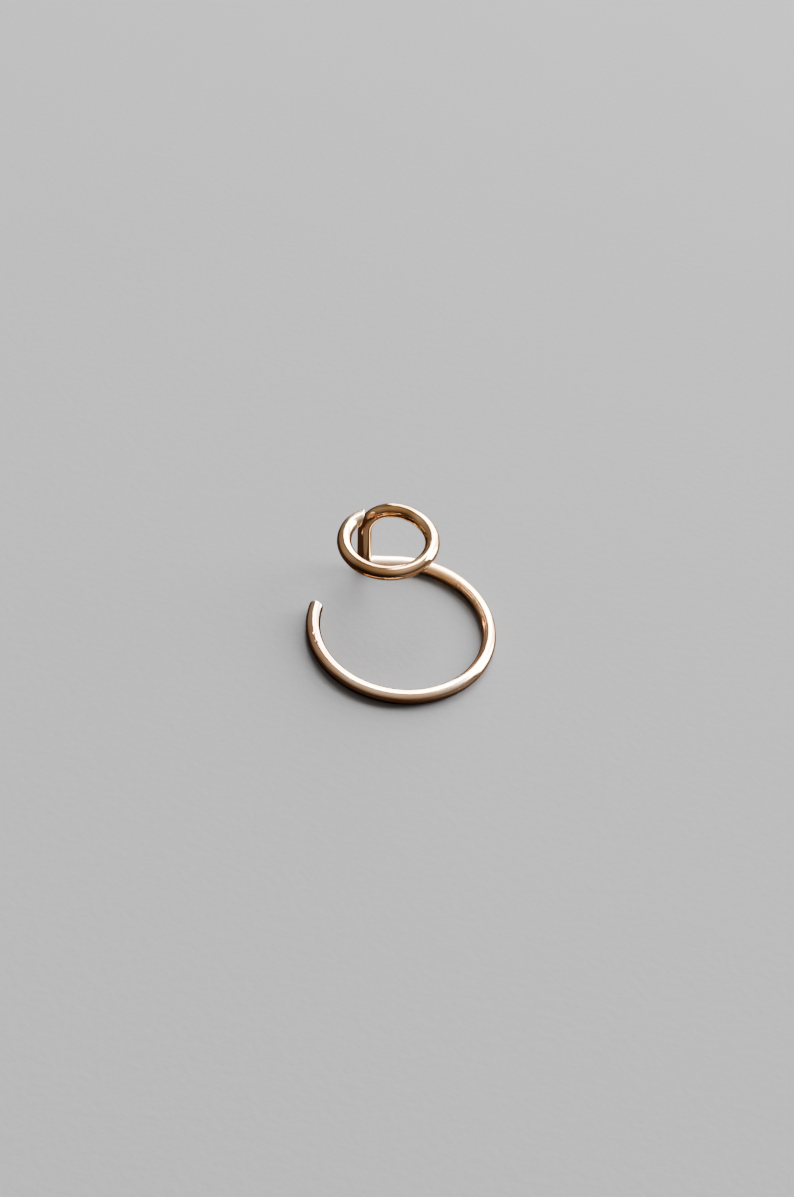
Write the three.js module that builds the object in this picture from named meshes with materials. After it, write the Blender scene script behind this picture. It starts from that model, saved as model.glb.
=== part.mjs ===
// Hoop earring made from a single length of round gold wire. The wire runs from a free end round
// a large open hoop, bends up into a short post that passes through the ear lobe, and bends over
// into a small ring that sits behind the lobe.
//
// Units are millimetres and +Z is up. The earring lies at rest, with the large hoop flat on the
// plane z = 0 and the post standing up from it. The origin is below the middle of its outline.

import * as THREE from 'three';

// ---- Driving dimensions -------------------------------------------------------------------

const degrees = Math.PI / 180;

const wireDiameter = 1.2;              // the 16 gauge of body jewellery
const wireSides = 20;                  // facets round the wire, one of them flat on the ground

const hoopRadius = 7.4;                // to the middle of the wire, as are all the radii below
const hoopFreeEnd = 171.7 * degrees;   // where round the hoop its free end is
const hoopSweep = 287.8 * degrees;     // anticlockwise, from the free end to the straight run
const straightRun = 1.96;              // the wire leaves its circle just before the foot bend

const footBendRadius = 0.92;
const postLean = { x: -4.9 * degrees, y: 7.0 * degrees };
const postLength = 2.55;               // the straight part, between the two bends
const topBendRadius = 2.51;

const ringRadius = 3.67;
const ringSweep = 318.5 * degrees;     // clockwise, from the top bend to the ring's free end
const ringTilt = { x: -0.135, y: 0.004 };   // slopes of the ring's axis, which is nearly upright
const ringOval = 0.137;                // how far the hand-bent ring strays from a true circle
const ringOvalEase = 34 * degrees;     // the turn over which that starts, so nothing kinks
const ringClosing = 0.18;              // how far the last stretch pulls in, beside the top bend
const ringClosingStart = 298 * degrees;

const up = new THREE.Vector3(0, 0, 1);

// ---- The wire's centre line ---------------------------------------------------------------

// A stretch of the centre line. Its point at a fraction of its length is at(fraction), and steps
// is the number of facets along it. The heading is a unit vector along the wire.
function straightStretch(from, heading, length, steps) {
  const at = (fraction) => from.clone().addScaledVector(heading, fraction * length);
  return { steps, at };
}

// A part of a circle, turning by angle about a unit axis square to the heading.
function bentStretch(from, heading, axis, radius, angle, steps) {
  const toCentre = axis.clone().cross(heading).multiplyScalar(radius);
  const centre = from.clone().add(toCentre);
  const at = (fraction) => {
    const spoke = toCentre.clone().applyAxisAngle(axis, fraction * angle);
    return centre.clone().sub(spoke);
  };
  return { steps, at };
}

// The small ring, turning clockwise about its axis from the heading.
function ringStretch(from, heading, axis, steps) {
  const inward = heading.clone().cross(axis);
  const centre = from.clone().addScaledVector(inward, ringRadius);
  const at = (fraction) => {
    const turn = fraction * ringSweep;
    const oval = ringOval * Math.sin(2 * turn) * THREE.MathUtils.smoothstep(turn, 0, ringOvalEase);
    const closing = ringClosing * THREE.MathUtils.smoothstep(turn, ringClosingStart, ringSweep);
    const radius = ringRadius - oval - closing;
    return centre.clone()
      .addScaledVector(inward, -radius * Math.cos(turn))
      .addScaledVector(heading, radius * Math.sin(turn));
  };
  return { steps, at };
}

// The whole centre line, stretch after stretch. Its parameter counts steps and not length, so
// that the tight bends get short facets and the wide hoop long ones.
class WirePath extends THREE.Curve {
  constructor(stretches) {
    super();
    this.stretches = stretches;
    this.steps = stretches.reduce((sum, stretch) => sum + stretch.steps, 0);
  }

  getPoint(t, target = new THREE.Vector3()) {
    let step = t * this.steps;
    for (const stretch of this.stretches.slice(0, -1)) {
      if (step < stretch.steps) return target.copy(stretch.at(step / stretch.steps));
      step -= stretch.steps;
    }
    const last = this.stretches[this.stretches.length - 1];
    return target.copy(last.at(Math.min(step / last.steps, 1)));
  }

  getPointAt(u, target) {
    return this.getPoint(u, target);
  }

  getTangentAt(u, target) {
    return this.getTangent(u, target);
  }
}

function wirePath() {
  // Large hoop, lying flat, from its free end.
  const outward = new THREE.Vector3(Math.cos(hoopFreeEnd), Math.sin(hoopFreeEnd), 0);
  const freeEnd = outward.clone().multiplyScalar(hoopRadius).setZ(wireDiameter / 2);
  const along = up.clone().cross(outward);
  const hoop = bentStretch(freeEnd, along, up, hoopRadius, hoopSweep, 72);

  // Straight run on to the foot bend.
  const runHeading = along.clone().applyAxisAngle(up, hoopSweep);
  const run = straightStretch(hoop.at(1), runHeading, straightRun, 4);

  // Foot bend, from the run up into the post.
  const postHeading = new THREE.Vector3(Math.tan(postLean.x), Math.tan(postLean.y), 1).normalize();
  const footAxis = runHeading.clone().cross(postHeading).normalize();
  const footTurn = runHeading.angleTo(postHeading);
  const foot = bentStretch(run.at(1), runHeading, footAxis, footBendRadius, footTurn, 11);

  // Post, through the lobe.
  const post = straightStretch(foot.at(1), postHeading, postLength, 5);

  // Top bend, from the post over into the plane of the small ring.
  const ringAxis = new THREE.Vector3(ringTilt.x, ringTilt.y, 1).normalize();
  const ringHeading = new THREE.Vector3(1, 0, 0).projectOnPlane(ringAxis).normalize();
  const topAxis = postHeading.clone().cross(ringHeading).normalize();
  const topTurn = postHeading.angleTo(ringHeading);
  const top = bentStretch(post.at(1), postHeading, topAxis, topBendRadius, topTurn, 16);

  // Small ring, round to its own free end.
  const ring = ringStretch(top.at(1), ringHeading, ringAxis, 72);

  return new WirePath([hoop, run, foot, post, top, ring]);
}

// ---- The wire itself ----------------------------------------------------------------------

// Section of the wire: a regular polygon as wide across its flats as the wire is thick, with a
// flat facing the section's +X, which is downwards where the path starts out level.
function wireSection() {
  const cornerRadius = wireDiameter / 2 / Math.cos(Math.PI / wireSides);
  const corners = [];
  for (let i = 0; i < wireSides; i += 1) {
    const angle = (i + 0.5) * 2 * Math.PI / wireSides;
    corners.push(new THREE.Vector2(Math.cos(angle), Math.sin(angle)).multiplyScalar(cornerRadius));
  }
  return new THREE.Shape(corners);
}

function earringWire() {
  const path = wirePath();
  const geometry = new THREE.ExtrudeGeometry(wireSection(), {
    steps: path.steps,
    extrudePath: path,
    bevelEnabled: false,
  });
  const gold = new THREE.MeshStandardMaterial({ color: 0xc9985f, roughness: 0.18, metalness: 1 });
  const mesh = new THREE.Mesh(geometry, gold);
  mesh.name = 'earring_wire';
  return mesh;
}

// ---- Assembly -----------------------------------------------------------------------------

const wire = earringWire();
wire.geometry.computeBoundingBox();
const outline = wire.geometry.boundingBox;
wire.position.x = -(outline.min.x + outline.max.x) / 2;
wire.position.y = -(outline.min.y + outline.max.y) / 2;
wire.position.z = -outline.min.z;

const earring = new THREE.Group();
earring.add(wire);

export default earring;
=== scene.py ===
import math

import bpy
import numpy as np
from mathutils import Matrix, Vector


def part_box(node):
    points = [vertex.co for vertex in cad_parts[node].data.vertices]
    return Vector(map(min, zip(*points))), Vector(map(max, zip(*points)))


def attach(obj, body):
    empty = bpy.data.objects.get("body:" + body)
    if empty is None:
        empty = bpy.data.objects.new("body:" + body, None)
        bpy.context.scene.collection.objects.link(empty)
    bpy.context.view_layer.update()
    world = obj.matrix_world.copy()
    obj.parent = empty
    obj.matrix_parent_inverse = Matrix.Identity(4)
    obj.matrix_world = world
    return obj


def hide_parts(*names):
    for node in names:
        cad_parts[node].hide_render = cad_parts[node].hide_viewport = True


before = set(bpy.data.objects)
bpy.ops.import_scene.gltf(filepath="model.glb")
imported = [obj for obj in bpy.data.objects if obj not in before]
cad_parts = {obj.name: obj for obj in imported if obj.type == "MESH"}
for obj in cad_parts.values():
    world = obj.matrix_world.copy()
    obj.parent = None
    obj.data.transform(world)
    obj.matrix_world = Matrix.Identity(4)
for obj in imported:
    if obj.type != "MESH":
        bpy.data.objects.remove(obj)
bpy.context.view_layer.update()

bl_info = {
    "name": "Wire Hoop Earring",
    "version": (1, 0, 0),
    "blender": (4, 5, 0),
    "location": "3D View > Sidebar > Earring",
    "description": "A front-back hoop earring bent from one length of round gold wire",
    "category": "Add Mesh",
}

# Everything is in metres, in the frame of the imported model: +Z is up, and the earring lies with its
# large hoop flat on the plane z = 0.

MM = 0.001
UP = (0.0, 0.0, 1.0)

# Points on each stretch of the wire's route.
HOOP_POINTS = 6000
STRAIGHT_POINTS = 400
BEND_POINTS = 400
RING_POINTS = 4000

SIDES = 64              # round the wire
ROWS = 1180             # along the wire, between its two cut ends
EDGE_ROWS = 6           # over the rounded edge of a cut end
FACE_ROWS = 12          # from that edge to the middle of the cut
CUT_REACH = 1.3         # how far along the wire a cut's slant is felt, in wire thicknesses
CUT_SHOWS = 0.35, 0.95  # where over the rounded edge the finish of the cut starts and is full

# Small dents that tools have left: how far along the wire, which way each faces, its radius and
# its depth.
DENTS = (
    (3.60 * MM, (-0.10, -0.02, 0.99), 0.20 * MM, 0.035 * MM),
    (4.47 * MM, (-0.17, -0.08, 0.98), 0.20 * MM, 0.035 * MM),
)

# Patterns on the gold: how fine each is across the wire, across it the other way and along it, per
# millimetre, how many finer layers it has and how strong they are. They vary about a middle of 0.5.
DRAWN_LINES = (14.0, 14.0, 0.30), 3.0, 0.6
BENT_WAVES = (0.9, 0.9, 0.72), 1.0, 0.5
GRAIN = (26.0, 26.0, 26.0), 2.0, 0.6
WEAR = (1.28, 1.28, 0.56), 3.0, 0.6
SCRATCHES = (5.27, 3.91, 0.935), 0.0, 0.5
SCRATCHED_PLACES = (0.6, 0.6, 0.6), 1.0, 0.5
SAW_MARKS = (4.0, 30.0, 1.0), 2.0, 0.5

# How much of the pattern counts as worn or as scratched.
WORN = 0.42, 0.66
SCRATCHED = 0.50, 0.58
SCRATCH_LEVEL = 0.52
SCRATCH_WIDTH = 0.006

# How much of their own colours the worn places and the cuts take, how much rougher each thing makes
# the gold, and how deep the saw marks are, in millimetres.
WORN_SHARE = 0.7
CUT_SHARE = 0.8
ROUGHER = {"worn": 0.04, "lines": 0.05, "scratch": 0.10, "cut": 0.20, "grain": 0.04}
SAW_DEPTH = 0.012

# Where the rosier gold of the hoop gives way to that of the ring, in millimetres along the wire.
ROSE_FADES = 24.5, 29.5

# Stretches of the wire in a darker tone, stretches painted paler as painted highlights, and duller
# stretches: from and to, in millimetres from the hoop's free end, how softly they end, and how much
# darker, paler or rougher.
DARKER_STRETCHES = (
    (2.6, 6.8, 0.8, 0.3),
    (46.0, 49.2, 0.7, 1.0),
    (50.6, 53.2, 0.6, 0.35),
    (57.4, 61.2, 1.1, 1.0),
)
# The paler stretches are painted highlight: pale gold laid where the wire should look brighter lit.
PAINTED_HIGHLIGHTS = (
    (-2.0, 1.4, 0.8, 0.56),
    (8.6, 12.4, 1.2, 0.24),
    (16.2, 19.4, 0.8, 0.32),
    (35.5, 39.9, 1.6, 0.68),
    (64.6, 70.0, 1.4, 0.40),
)
DULLER = (
    (15.4, 19.2, 1.2, 0.11),
    (31.0, 35.8, 1.4, 0.286),
    (36.0, 40.2, 1.4, 0.275),
    (65.4, 70.0, 1.0, 0.132),
)

# The floor: its corners, its patterns as above but per metre, the depth of its tooth in
# millimetres, how much lighter and darker it gets, and how matt it is.
FLOOR_SIDES = 96
PAPER_TOOTH = (1600.0, 1600.0, 1600.0), 3.0, 0.6
PAPER_CLOUD = (30.0, 30.0, 30.0), 2.0, 0.5
TOOTH_DEPTH = 0.03
FLOOR_SPREAD = 0.06
FLOOR_ROUGHNESS = 0.85

# Where the floor, as the gold mirrors it, is painted lit, as the light reaches it there without the
# earring's shadow: on one side of it, and in the middle of the hoop.
LIT_SIDE = (0.98, 0.15, 0.0)
LIT_SIDE_FADES = 4 * MM, 9.5 * MM
LIT_MIDDLE = (0.0, -1.0 * MM, 0.0)
LIT_MIDDLE_FADES = 4.5 * MM, 6 * MM

# The room: where its lighter wall and its dimmer back wall are and how softly they start, how dim
# the back wall is, and how soon the walls get lighter with height.
SIDE_WALL = (-0.86, 0.51, 0.0)
SIDE_WALL_FADES = 0.35, 0.95
BACK_WALL_FADES = 0.1, 0.65
BACK_WALL_DIMMED = 0.6
FIRST_RISE = 0.2

# Panes of the window in its own plane: name, right and left edges, bottom and top, and how bright
# each is, to the brightest.
WINDOW_PANES = (
    ("pane_right", -0.655, -0.20, 0.0, 0.94, 1.0),
    ("pane_left", 0.0, 0.655, 0.0, 0.94, 1.0),
    ("pane_top", -0.20, 0.0, 0.60, 0.94, 1.0),
    ("pane_low", -0.20, 0.0, 0.0, 0.60, 0.30),
    ("curtain", 0.655, 1.05, 0.0, 0.60, 0.013),
)


# ---- Sizes and colours --------------------------------------------------------------------------


def length(name, description, default):
    return bpy.props.FloatProperty(
        name=name, description=description, default=default, unit="LENGTH", precision=6, min=0.0
    )


def angle(name, description, degrees):
    return bpy.props.FloatProperty(
        name=name, description=description, default=math.radians(degrees), subtype="ANGLE"
    )


def number(name, description, default):
    return bpy.props.FloatProperty(name=name, description=description, default=default, precision=4)


def point(name, description, default):
    return bpy.props.FloatVectorProperty(
        name=name, description=description, default=default, size=3, unit="LENGTH", precision=6
    )


def colour(name, description, default):
    return bpy.props.FloatVectorProperty(
        name=name, description=description, default=default,
        size=3, subtype="COLOR", min=0.0, max=1.0,
    )


class EARRING_PG_wire(bpy.types.PropertyGroup):
    """Sizes of the wire and of its bends. Every radius is to the middle of the wire."""

    thickness: length("Wire thickness", "Thickness of the round wire", 1.2 * MM)
    hoop_radius: length("Hoop radius", "Radius of the large hoop", 7.4 * MM)
    hoop_free_end: angle("Hoop free end", "Where round the hoop its free end is, from +X", 171.7)
    hoop_sweep: angle("Hoop sweep", "How far the hoop turns, anticlockwise", 287.8)
    straight_run: length(
        "Straight run", "Straight wire between the hoop and the foot bend", 1.96 * MM
    )
    foot_bend_radius: length("Foot bend radius", "Radius of the bend below the post", 0.92 * MM)
    post_lean_x: angle("Post lean in X", "How far the post leans towards +X", -4.9)
    post_lean_y: angle("Post lean in Y", "How far the post leans towards +Y", 7.0)
    post_length: length("Post length", "Straight part of the post, between its bends", 2.55 * MM)
    top_bend_radius: length("Top bend radius", "Radius of the bend above the post", 2.51 * MM)
    ring_radius: length("Ring radius", "Radius of the small ring", 3.67 * MM)
    ring_sweep: angle("Ring sweep", "How far the ring turns, clockwise", 318.5)
    ring_slope_x: number("Ring slope in X", "How far the ring's axis leans towards +X", -0.135)
    ring_slope_y: number("Ring slope in Y", "How far the ring's axis leans towards +Y", 0.004)
    ring_oval: length("Ring oval", "How far the ring strays from a true circle", 0.137 * MM)
    ring_oval_ease: angle("Ring oval ease", "The turn over which the oval starts", 34)
    ring_closing: length("Ring closing", "How far the ring's last stretch pulls in", 0.18 * MM)
    ring_closing_start: angle(
        "Ring closing start", "The turn at which the ring starts to pull in", 298
    )
    edge_rounding: length("Edge rounding", "Radius of the edge round a cut end", 0.1 * MM)
    cut_dish: length("Cut dish", "How far the middle of a cut end is sunk", 0.12 * MM)
    hoop_cut_slant: angle("Hoop cut slant", "Slant of the cut across the hoop's free end", 4)
    ring_cut_slant: angle("Ring cut slant", "Slant of the cut across the ring's free end", 42)
    ring_cut_back: length("Ring cut back", "How far back the middle of that cut is", 0.20 * MM)
    ring_cut_lead: angle(
        "Ring cut lead", "Which side of that cut is longest, from the ring's outside upwards", 45
    )


class EARRING_PG_gold(bpy.types.PropertyGroup):
    """Colours and surface of the gold."""

    ring: colour("Ring gold", "Colour of the polished gold at the small ring", (0.90, 0.60, 0.34))
    hoop: colour("Hoop gold", "Colour of the rosier gold of the hoop", (0.90, 0.61, 0.42))
    worn: colour("Worn gold", "Colour where the polish is worn", (0.81, 0.50, 0.27))
    # Colour given to the stretches listed as darker along the wire.
    deep: colour("Deep gold", "Colour where the gold has darkened", (0.42, 0.245, 0.115))
    # Painted highlight: the paler gold laid on the stretches painted as highlights.
    pale: colour("Pale gold", "Colour where handling has left a pale haze", (0.98, 0.82, 0.62))
    cut: colour("Cut gold", "Colour of the freshly cut ends", (0.80, 0.64, 0.44))
    roughness: number("Roughness", "Roughness of the polished surface", 0.09)
    edge: colour("Edge gold", "Colour of the gold seen edge on", (0.93, 0.83, 0.70))
    line_depth: number("Line depth", "Depth of the drawing lines, in millimetres", 0.00010)
    wave_depth: number("Wave depth", "Depth of the hand-bending waves, in millimetres", 0.004)
    scratch_depth: number("Scratch depth", "Depth of the scratches, in millimetres", 0.0008)


class EARRING_PG_stage(bpy.types.PropertyGroup):
    """The floor, the light and the camera."""

    floor_colour: colour("Floor", "Colour of the pale floor", (0.14, 0.143, 0.153))
    # Painted shade: the gold mirrors the floor darker than it is, less so where it is painted lit.
    floor_mirrored: colour(
        "Floor mirrored", "Colour of the floor in the gold, to its own", (0.075, 0.042, 0.028)
    )
    floor_mirrored_lit: colour(
        "Floor mirrored, lit", "The same, on the side towards the light", (0.40, 0.33, 0.29)
    )
    floor_radius: length("Floor radius", "Radius of the round floor", 3.0)
    window_distance: length("Window distance", "Distance of the tall soft light", 0.60)
    window_heading: angle(
        "Window heading", "Where round the earring the soft light stands, from +X", 55.5
    )
    window_radiance: number("Window radiance", "Brightness of the tall soft light", 29.0)
    panel_distance: length("Panel distance", "Distance of the small overhead panel", 0.60)
    panel_size: length("Panel size", "Width and depth of the overhead panel", 0.21)
    panel_heading: angle("Panel heading", "Where round the earring the panel hangs, from +X", 92)
    panel_rise: angle("Panel rise", "How steeply the panel is overhead", 61.5)
    panel_radiance: number("Panel radiance", "Brightness of the overhead panel", 26.0)
    light_colour: colour("Light", "Colour of both soft lights", (1.0, 0.98, 0.94))
    ceiling: colour("Ceiling", "Colour of the room overhead", (0.865, 0.75, 0.64))
    far_wall: colour("Far wall", "Colour of the room low down, in front", (0.024, 0.015, 0.009))
    side_wall: colour("Side wall", "Colour of the room low down, towards -X", (0.22, 0.19, 0.167))
    looks_at: point(
        "Looks at", "What is in the middle of the view", (-0.7115 * MM, 3.6376 * MM, 0.0643 * MM)
    )
    camera_distance: length(
        "Camera distance", "Distance from the camera to what it looks at", 136.02 * MM
    )
    camera_elevation: angle("Camera elevation", "How far above the floor the camera stands", 47.52)
    camera_roll: angle("Camera roll", "Turn of the camera about its line of sight", 8.47)
    camera_lens: number("Camera lens", "Focal length of the lens, in millimetres", 47.83)


# ---- The wire's route ---------------------------------------------------------------------------


def smoothstep(x, low, high):
    t = np.clip((x - low) / (high - low), 0.0, 1.0)
    return t * t * (3 - 2 * t)


def unit(vector):
    return vector / np.linalg.norm(vector)


def turned(vector, axis, angles):
    """The vector, turned about a unit axis square to it, for each angle."""
    angles = np.atleast_1d(angles)[:, None]
    return vector * np.cos(angles) + np.cross(axis, vector) * np.sin(angles)


def straight(start, heading, distance):
    """Points on a straight stretch."""
    return start + np.linspace(0, distance, STRAIGHT_POINTS)[:, None] * heading


def bent(start, heading, towards, radius):
    """Points on a bend from one heading to another."""
    axis = unit(np.cross(heading, towards))
    sweep = math.acos(float(np.clip(heading @ towards, -1, 1)))
    spoke = -radius * np.cross(axis, heading)
    return start - spoke + turned(spoke, axis, np.linspace(0, sweep, BEND_POINTS))


def route(wire):
    """Points close together along the middle of the wire, from the hoop's free end to the free end
    of the ring."""
    around = wire.hoop_free_end + np.linspace(0, wire.hoop_sweep, HOOP_POINTS)
    hoop = np.stack([
        wire.hoop_radius * np.cos(around),
        wire.hoop_radius * np.sin(around),
        np.full(HOOP_POINTS, wire.thickness / 2),
    ], axis=1)
    run_heading = np.array([-math.sin(around[-1]), math.cos(around[-1]), 0.0])
    run = straight(hoop[-1], run_heading, wire.straight_run)

    post_heading = unit(np.array([math.tan(wire.post_lean_x), math.tan(wire.post_lean_y), 1.0]))
    foot = bent(run[-1], run_heading, post_heading, wire.foot_bend_radius)
    post = straight(foot[-1], post_heading, wire.post_length)

    ring_axis = unit(np.array([wire.ring_slope_x, wire.ring_slope_y, 1.0]))
    ring_heading = np.array([1.0, 0.0, 0.0])
    ring_heading = unit(ring_heading - (ring_heading @ ring_axis) * ring_axis)
    top = bent(post[-1], post_heading, ring_heading, wire.top_bend_radius)

    turn = np.linspace(0, wire.ring_sweep, RING_POINTS)
    inward = np.cross(ring_heading, ring_axis)
    radius = (
        wire.ring_radius
        - wire.ring_oval * np.sin(2 * turn) * smoothstep(turn, 0, wire.ring_oval_ease)
        - wire.ring_closing * smoothstep(turn, wire.ring_closing_start, wire.ring_sweep)
    )
    ring = (
        top[-1] + inward * wire.ring_radius
        - (radius * np.cos(turn))[:, None] * inward
        + (radius * np.sin(turn))[:, None] * ring_heading
    )

    stretches = [hoop, run, foot, post, top, ring]
    return np.concatenate([hoop[:1]] + [stretch[1:] for stretch in stretches])


def along_route(points):
    """How far along the route each of its points is."""
    return np.concatenate([[0.0], np.cumsum(np.linalg.norm(np.diff(points, axis=0), axis=1))])


def sections(points, places):
    """The middle, the heading and two cross directions of the wire at places along its route. The
    cross directions don't twist from one place to the next."""
    along = along_route(points)
    middles = np.stack([np.interp(places, along, points[:, i]) for i in range(3)], axis=1)
    slopes = np.gradient(points, along, axis=0)
    headings = np.stack([np.interp(places, along, slopes[:, i]) for i in range(3)], axis=1)
    headings /= np.linalg.norm(headings, axis=1)[:, None]

    across = np.zeros_like(headings)
    across[0] = unit(np.cross(UP, headings[0]))
    for i in range(1, len(places)):
        carried = across[i - 1] - (across[i - 1] @ headings[i]) * headings[i]
        across[i] = unit(carried)
    return middles, headings, across, np.cross(headings, across)


# ---- The wire's surface -------------------------------------------------------------------------


def wire_rows(wire, total):
    """For each row of points round the wire: its place along the wire, its radius, and how much of
    it is cut face."""
    radius = wire.thickness / 2
    edge = wire.edge_rounding
    over = np.linspace(math.pi / 2, 0, EDGE_ROWS + 1)[:-1]
    inwards = np.linspace(0, 1, FACE_ROWS + 1)[1:-1]

    face = np.stack([np.zeros(len(inwards)), (radius - edge) * inwards, np.ones(len(inwards))])
    rounding = np.stack([
        edge * (1 - np.sin(over)),
        radius - edge + edge * np.cos(over),
        smoothstep(np.sin(over), *CUT_SHOWS),
    ])
    start = np.concatenate([face, rounding], axis=1)
    body = np.linspace(edge, total - edge, ROWS)
    middle = np.stack([body, np.full(ROWS, radius), np.zeros(ROWS)])
    end = start[:, ::-1].copy()
    end[0] = total - end[0]
    return np.concatenate([start, middle, end], axis=1)


def cut_shifts(wire, points, places, radii, out):
    """How far each point of the surface is moved along the wire to shape both cut ends: slanted a
    little way along the wire, set back at the ring's end, and sunk in the middle."""
    total = places[-1]
    reach = CUT_REACH * wire.thickness
    at_hoop_cut = 1 - smoothstep(places, 0, reach)
    at_ring_cut = smoothstep(places, total - reach, total)

    hoop_side = unit(points[0] * (1, 1, 0))
    ring_side = unit(points[-1] - points[-RING_POINTS:].mean(axis=0))
    ring_side = ring_side * math.cos(wire.ring_cut_lead)
    ring_side += np.array(UP) * math.sin(wire.ring_cut_lead)
    hoop_slants = -math.tan(wire.hoop_cut_slant) * at_hoop_cut[:, None] * hoop_side
    ring_slants = math.tan(wire.ring_cut_slant) * at_ring_cut[:, None] * ring_side
    slants = hoop_slants + ring_slants
    slanted = (out * slants[:, None]).sum(axis=2) * radii[:, None]

    inner = wire.thickness / 2 - wire.edge_rounding
    dished = wire.cut_dish * (1 - smoothstep(radii, 0, inner))
    dished = np.where(places < total / 2, dished, -dished)
    return slanted + (dished - wire.ring_cut_back * at_ring_cut)[:, None]


def dents(out, places, radius):
    """How far each point of the surface is sunk by the dents."""
    sunk = np.zeros(out.shape[:2])
    for along, facing, reach, depth in DENTS:
        turn = np.arccos(np.clip(out @ unit(np.array(facing)), -1, 1))
        distance = np.hypot((places - along)[:, None], turn * radius)
        sunk += depth * (1 - smoothstep(distance, 0, reach))
    return sunk


def wire_mesh(wire):
    """The round wire, with its place on the wire and its share of cut face kept at each point for
    the finish: across it, across it the other way and along it, in millimetres."""
    points = route(wire)
    total = along_route(points)[-1]
    places, radii, cut = wire_rows(wire, total)
    middles, headings, across, over = sections(points, places)

    around = np.linspace(0, 2 * math.pi, SIDES, endpoint=False)
    cosine, sine = np.cos(around), np.sin(around)
    out = across[:, None] * cosine[None, :, None] + over[:, None] * sine[None, :, None]
    shift = cut_shifts(wire, points, places, radii, out)
    sunk = dents(out, places, wire.thickness / 2)
    surface = middles[:, None] + out * (radii[:, None] - sunk)[:, :, None]
    surface += headings[:, None] * shift[:, :, None]

    place = np.stack([
        radii[:, None] * cosine[None, :],
        radii[:, None] * sine[None, :],
        np.broadcast_to(places[:, None], (len(places), SIDES)),
    ], axis=2)

    rows = len(places)
    middles_of_cuts = np.array([surface[0].mean(axis=0), surface[-1].mean(axis=0)])
    vertices = np.concatenate([surface.reshape(-1, 3), middles_of_cuts])
    place = np.concatenate([place.reshape(-1, 3), [[0, 0, 0], [0, 0, total]]]) / MM
    cut = np.concatenate([np.repeat(cut, SIDES), [1.0, 1.0]])

    index = np.arange(rows * SIDES).reshape(rows, SIDES)
    after = np.roll(index, -1, axis=1)
    quads = np.stack([index[:-1], after[:-1], after[1:], index[1:]], axis=2).reshape(-1, 4)
    first, last = rows * SIDES, rows * SIDES + 1
    fans = [(first, b, a) for a, b in zip(index[0], after[0])]
    fans += [(last, a, b) for a, b in zip(index[-1], after[-1])]

    mesh = bpy.data.meshes.new("gold_wire")
    mesh.from_pydata(vertices.tolist(), [], quads.tolist() + fans)
    mesh.polygons.foreach_set("use_smooth", [True] * len(mesh.polygons))
    kept = mesh.attributes.new("wire_place", "FLOAT_VECTOR", "POINT")
    kept.data.foreach_set("vector", place.astype(np.float32).ravel())
    kept = mesh.attributes.new("wire_cut", "FLOAT", "POINT")
    kept.data.foreach_set("value", cut.astype(np.float32))
    mesh.update()
    return mesh


# ---- Node trees ---------------------------------------------------------------------------------


class Socket:
    """An output socket. Arithmetic on it and plain numbers adds Math nodes to its tree."""

    def __init__(self, nodes, output):
        self.nodes = nodes
        self.output = output

    def maths(self, operation, first, second):
        return self.nodes.add("ShaderNodeMath", {"operation": operation}, {0: first, 1: second})

    def __add__(self, other):
        return self.maths("ADD", self, other)

    def __radd__(self, other):
        return self.maths("ADD", other, self)

    def __sub__(self, other):
        return self.maths("SUBTRACT", self, other)

    def __rsub__(self, other):
        return self.maths("SUBTRACT", other, self)

    def __mul__(self, other):
        return self.maths("MULTIPLY", self, other)

    def __rmul__(self, other):
        return self.maths("MULTIPLY", other, self)

    def __abs__(self):
        return self.maths("ABSOLUTE", self, 0.0)


class Nodes:
    """The node tree of a material or of the world."""

    def __init__(self, owner):
        owner.use_nodes = True
        self.tree = owner.node_tree
        self.tree.nodes.clear()

    def add(self, kind, settings=None, sockets=None, output=0):
        """Adds a node. Its settings come first, and then the values or links of its sockets."""
        node = self.tree.nodes.new(kind)
        for name, value in (settings or {}).items():
            setattr(node, name, value)
        for name, value in (sockets or {}).items():
            if isinstance(value, Socket):
                self.tree.links.new(value.output, node.inputs[name])
            else:
                node.inputs[name].default_value = value
        return Socket(self, node.outputs[output]) if len(node.outputs) else None

    def scaled(self, vector, factors):
        return self.add("ShaderNodeVectorMath", {"operation": "MULTIPLY"}, {0: vector, 1: factors})

    def noise(self, vector, pattern):
        """An uneven pattern: how fine it is each way, its finer layers and their strength."""
        scales, layers, strength = pattern
        return self.add("ShaderNodeTexNoise", {}, {
            "Vector": self.scaled(vector, scales),
            "Scale": 1.0,
            "Detail": layers,
            "Roughness": strength,
        })

    def fade(self, value, low, high):
        """0 below low, 1 above high, and a smooth rise between them."""
        sockets = {"Value": value, "From Min": low, "From Max": high}
        return self.add("ShaderNodeMapRange", {"interpolation_type": "SMOOTHSTEP"}, sockets)

    def band(self, value, low, high, ease):
        """1 between low and high, 0 outside, easing over twice the ease at both."""
        rise = self.fade(value, low - ease, low + ease)
        return rise * (1 - self.fade(value, high - ease, high + ease))

    def bands(self, value, stretches):
        """The bands for all stretches together, each as strong as it says."""
        return sum(
            share * self.band(value, low, high, ease) for low, high, ease, share in stretches
        )

    def component(self, vector, axis):
        return self.add("ShaderNodeSeparateXYZ", {}, {0: vector}, axis)

    def towards(self, vector, direction):
        """How far a vector reaches in a direction."""
        return self.add(
            "ShaderNodeVectorMath", {"operation": "DOT_PRODUCT"}, {0: vector, 1: direction}, "Value"
        )

    def blend(self, factor, first, second):
        """A mix of two colours."""
        return self.add("ShaderNodeMix", {"data_type": "RGBA"}, {0: factor, 6: first, 7: second}, 2)


def opaque(shade):
    return (*shade, 1.0)


# ---- Finishes -----------------------------------------------------------------------------------


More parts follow.
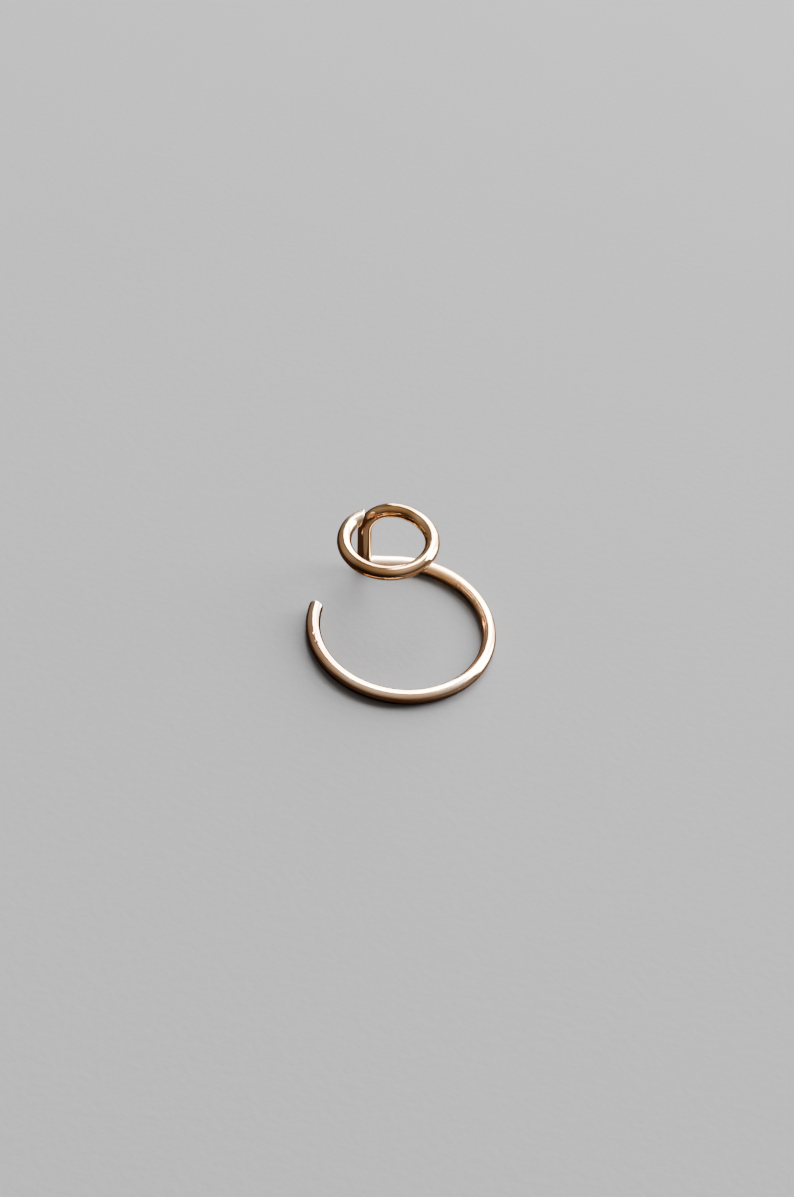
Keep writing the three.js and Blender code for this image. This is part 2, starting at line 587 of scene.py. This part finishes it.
def gold_finish(gold):
    """Polished gold, with the lines of the draw plate along it, gentle waves from hand bending,
    fine scratches, darker stretches, paler stretches painted as highlights, duller stretches, and
    duller cut ends."""
    material = bpy.data.materials.new("polished_gold")
    nodes = Nodes(material)
    place = nodes.add("ShaderNodeAttribute", {"attribute_name": "wire_place"}, {}, "Vector")
    cut = nodes.add("ShaderNodeAttribute", {"attribute_name": "wire_cut"}, {}, "Fac")

    lines = nodes.noise(place, DRAWN_LINES)
    waves = nodes.noise(place, BENT_WAVES)
    grain = nodes.noise(place, GRAIN)
    worn = nodes.fade(nodes.noise(place, WEAR), *WORN)
    scratch = 1 - nodes.fade(abs(nodes.noise(place, SCRATCHES) - SCRATCH_LEVEL), 0.0, SCRATCH_WIDTH)
    scratch = scratch * nodes.fade(nodes.noise(place, SCRATCHED_PLACES), *SCRATCHED)

    along = nodes.component(place, "Z")
    shade = nodes.blend(nodes.fade(along, *ROSE_FADES), opaque(gold.hoop), opaque(gold.ring))
    shade = nodes.blend(worn * WORN_SHARE, shade, opaque(gold.worn))
    shade = nodes.blend(nodes.bands(along, DARKER_STRETCHES), shade, opaque(gold.deep))
    # Painted highlight: paler gold on the stretches listed as painted highlights.
    shade = nodes.blend(nodes.bands(along, PAINTED_HIGHLIGHTS), shade, opaque(gold.pale))
    shade = nodes.blend(cut * CUT_SHARE, shade, opaque(gold.cut))
    roughness = (
        gold.roughness
        + worn * ROUGHER["worn"]
        + (lines - 0.5) * ROUGHER["lines"]
        + scratch * ROUGHER["scratch"]
        + cut * ROUGHER["cut"]
        + nodes.bands(along, DULLER)
        + (grain - 0.5) * ROUGHER["grain"]
    )

    height = (
        (lines - 0.5) * gold.line_depth
        + (waves - 0.5) * gold.wave_depth
        - scratch * gold.scratch_depth
        + nodes.noise(place, SAW_MARKS) * cut * SAW_DEPTH
    )
    bump = nodes.add("ShaderNodeBump", {}, {"Strength": 1.0, "Distance": MM, "Height": height})

    shader = nodes.add("ShaderNodeBsdfPrincipled", {}, {
        "Base Color": shade, "Metallic": 1.0, "Roughness": roughness, "Normal": bump,
        "Specular Tint": opaque(gold.edge),
    })
    nodes.add("ShaderNodeOutputMaterial", {}, {"Surface": shader})
    return material


def floor_finish(stage):
    """Plain pale paper with a faint tooth, which the gold mirrors with painted shade."""
    material = bpy.data.materials.new("pale_paper")
    nodes = Nodes(material)
    place = nodes.add("ShaderNodeTexCoord", {}, {}, "Object")
    tooth = nodes.noise(place, PAPER_TOOTH)
    cloud = nodes.noise(place, PAPER_CLOUD)
    shade = nodes.blend(
        tooth * 0.5 + cloud * 0.5,
        opaque([part * (1 - FLOOR_SPREAD) for part in stage.floor_colour]),
        opaque([min(part * (1 + FLOOR_SPREAD), 1.0) for part in stage.floor_colour]),
    )
    # Painted shade: the gold mirrors the floor darker than it is, so that its lower side
    # stays deep in tone, and painted light makes it less so where the light reaches the floor.
    mirrored = nodes.add("ShaderNodeLightPath", {}, {}, "Is Glossy Ray")
    from_middle = nodes.add(
        "ShaderNodeVectorMath", {"operation": "DISTANCE"}, {0: place, 1: LIT_MIDDLE}, "Value"
    )
    lit = nodes.fade(nodes.towards(place, LIT_SIDE), *LIT_SIDE_FADES)
    lit = lit + 1 - nodes.fade(from_middle, *LIT_MIDDLE_FADES)
    darker = nodes.blend(
        lit,
        nodes.scaled(shade, tuple(stage.floor_mirrored)),
        nodes.scaled(shade, tuple(stage.floor_mirrored_lit)),
    )
    shade = nodes.blend(mirrored, shade, darker)
    height = tooth * TOOTH_DEPTH
    bump = nodes.add("ShaderNodeBump", {}, {"Strength": 1.0, "Distance": MM, "Height": height})
    shader = nodes.add("ShaderNodeBsdfPrincipled", {}, {
        "Base Color": shade, "Roughness": FLOOR_ROUGHNESS, "Specular IOR Level": 0.0,
        "Normal": bump,
    })
    nodes.add("ShaderNodeOutputMaterial", {}, {"Surface": shader})
    return material


# ---- Operators ----------------------------------------------------------------------------------


def placed(name, data, matrix=None):
    made = bpy.data.objects.new(name, data)
    if matrix is not None:
        made.matrix_world = matrix
    bpy.context.scene.collection.objects.link(made)
    return made


class EARRING_OT_wire(bpy.types.Operator):
    """Bend the gold wire into the hoop, the post and the ring"""

    bl_idname = "earring.wire"
    bl_label = "Earring Wire"

    def execute(self, context):
        mesh = wire_mesh(context.scene.earring_wire)
        low, high = (np.array(corner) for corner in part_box("earring_wire"))
        points = np.empty(len(mesh.vertices) * 3, np.float32)
        mesh.vertices.foreach_get("co", points)
        points = points.reshape(-1, 3)
        own_low, own_high = points.min(axis=0), points.max(axis=0)
        shift = (low + high - own_low - own_high) / 2
        shift[2] = low[2] - own_low[2]
        mesh.transform(Matrix.Translation(Vector(shift)))
        mesh.materials.append(gold_finish(context.scene.earring_gold))
        piece = placed("gold_wire", mesh)
        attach(piece, "root")
        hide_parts("earring_wire")
        return {"FINISHED"}


class EARRING_OT_stage(bpy.types.Operator):
    """Set out the floor, the light and the camera"""

    bl_idname = "earring.stage"
    bl_label = "Stage"

    def execute(self, context):
        stage = context.scene.earring_stage
        self.lay_floor(stage)
        self.hang_lights(stage)
        self.dim_room(context.scene, stage)
        self.set_camera(context.scene, stage)
        return {"FINISHED"}

    def lay_floor(self, stage):
        around = np.linspace(0, 2 * math.pi, FLOOR_SIDES, endpoint=False)
        radius = stage.floor_radius
        rim = [(radius * math.cos(turn), radius * math.sin(turn), 0.0) for turn in around]
        mesh = bpy.data.meshes.new("floor")
        mesh.from_pydata(rim, [], [tuple(range(len(rim)))])
        mesh.materials.append(floor_finish(stage))
        placed("floor", mesh)

    def hang_lights(self, stage):
        heading = stage.window_heading
        facing = Vector((math.cos(heading), math.sin(heading), 0.0))
        leftwards = Vector((-math.sin(heading), math.cos(heading), 0.0))
        for name, right, left, bottom, top, share in WINDOW_PANES:
            at = facing * stage.window_distance + leftwards * (left + right) / 2
            at.z = (bottom + top) / 2
            size = left - right, top - bottom
            self.hang(stage, name, at, facing, size, stage.window_radiance * share)

        heading, rise = stage.panel_heading, stage.panel_rise
        level = Vector((math.cos(heading), math.sin(heading), 0.0))
        facing = level * math.cos(rise) + Vector(UP) * math.sin(rise)
        at = facing * stage.panel_distance
        size = stage.panel_size, stage.panel_size
        self.hang(stage, "panel", at, facing, size, stage.panel_radiance)

    def hang(self, stage, name, at, facing, size, radiance):
        """Hangs a soft light, facing back against a direction. The camera doesn't see it."""
        light = bpy.data.lights.new(name, "AREA")
        light.shape = "RECTANGLE"
        light.size, light.size_y = size
        light.energy = radiance * math.pi * size[0] * size[1]
        light.color = stage.light_colour
        turn = facing.to_track_quat("Z", "Y").to_matrix().to_4x4()
        placed(name, light, Matrix.Translation(at) @ turn).visible_camera = False

    def dim_room(self, scene, stage):
        """A dim room that gets lighter towards the ceiling, with one wall lighter low down and the
        wall at the back dimmer."""
        scene.world = bpy.data.worlds.new("dim_room")
        nodes = Nodes(scene.world)
        direction = nodes.add("ShaderNodeTexCoord", {}, {}, "Generated")
        side = nodes.fade(nodes.towards(direction, SIDE_WALL), *SIDE_WALL_FADES)
        walls = nodes.blend(side, opaque(stage.far_wall), opaque(stage.side_wall))
        back = nodes.fade(nodes.component(direction, "Y"), *BACK_WALL_FADES)
        height = nodes.component(direction, "Z")
        height = nodes.add("ShaderNodeMath", {"operation": "MAXIMUM"}, {0: height, 1: 0.0})
        lift = height * (FIRST_RISE + (1 - FIRST_RISE) * height) * (1 - BACK_WALL_DIMMED * back)
        shade = nodes.blend(lift, walls, opaque(stage.ceiling))
        background = nodes.add("ShaderNodeBackground", {}, {"Color": shade, "Strength": 1.0})
        nodes.add("ShaderNodeOutputWorld", {}, {"Surface": background})

    def set_camera(self, scene, stage):
        lens = bpy.data.cameras.new("camera")
        lens.lens = stage.camera_lens
        lens.clip_start = 2 * MM
        rise, roll = stage.camera_elevation, stage.camera_roll
        back = Vector((0.0, -math.cos(rise), math.sin(rise)))
        right = Vector((1.0, 0.0, 0.0))
        upright = Vector((0.0, math.sin(rise), math.cos(rise)))
        side = right * math.cos(roll) + upright * math.sin(roll)
        top = upright * math.cos(roll) - right * math.sin(roll)
        turn = Matrix((side, top, back)).transposed().to_4x4()
        at = Vector(stage.looks_at) + back * stage.camera_distance
        scene.camera = placed("camera", lens, Matrix.Translation(at) @ turn)


class EARRING_PT_panel(bpy.types.Panel):
    """Sizes, colours and pieces of the earring"""

    bl_idname = "EARRING_PT_panel"
    bl_label = "Wire Hoop Earring"
    bl_space_type = "VIEW_3D"
    bl_region_type = "UI"
    bl_category = "Earring"

    def draw(self, context):
        layout = self.layout
        for group in ("earring_wire", "earring_gold", "earring_stage"):
            settings = getattr(context.scene, group)
            box = layout.box()
            for name in settings.__annotations__:
                box.prop(settings, name)
        layout.operator(EARRING_OT_wire.bl_idname)
        layout.operator(EARRING_OT_stage.bl_idname)


GROUPS = {
    "earring_wire": EARRING_PG_wire,
    "earring_gold": EARRING_PG_gold,
    "earring_stage": EARRING_PG_stage,
}
OPERATORS = (EARRING_OT_wire, EARRING_OT_stage)


def register():
    for group in (*GROUPS.values(), *OPERATORS, EARRING_PT_panel):
        bpy.utils.register_class(group)
    for name, group in GROUPS.items():
        setattr(bpy.types.Scene, name, bpy.props.PointerProperty(type=group))


def unregister():
    for name in GROUPS:
        delattr(bpy.types.Scene, name)
    for group in (EARRING_PT_panel, *OPERATORS, *GROUPS.values()):
        bpy.utils.unregister_class(group)


def main():
    register()
    bpy.ops.earring.stage()
    bpy.ops.earring.wire()


if __name__ == "__main__":
    main()
